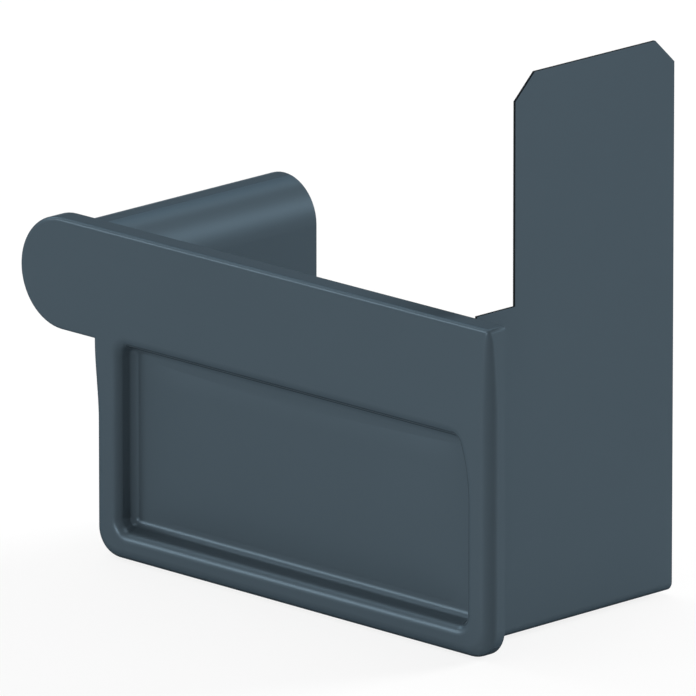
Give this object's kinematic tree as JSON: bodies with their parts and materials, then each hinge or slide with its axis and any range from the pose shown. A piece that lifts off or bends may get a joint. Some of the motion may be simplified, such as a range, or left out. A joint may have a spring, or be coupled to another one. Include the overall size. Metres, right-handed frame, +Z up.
{
  "type": "gutter end cap",
  "caption": "Box-gutter end cap: a pressed end plate with a rim, a sunk field and a lobe over the bead, on a short gutter sleeve whose back wall rises into a fixing tab.",
  "frame": {"origin": "middle of the overall length and depth, at the foot of the end plate", "axes": "+X from the bead at the front to the fascia at the back, +Y along the gutter from the closed face to the open end, +Z up"},
  "size_m": [0.1536, 0.0702, 0.1341],
  "materials": {
    "plate_coating": "satin slate-grey coil coating",
    "sleeve_coating": "satin slate-grey coil coating",
    "sealant": "matt grey sealing compound"
  },
  "bodies": {
    "root": {"end_plate": "plate_coating", "gutter_sleeve": "sleeve_coating", "seam_sealant": "sealant"}
  },
  "joints": []
}
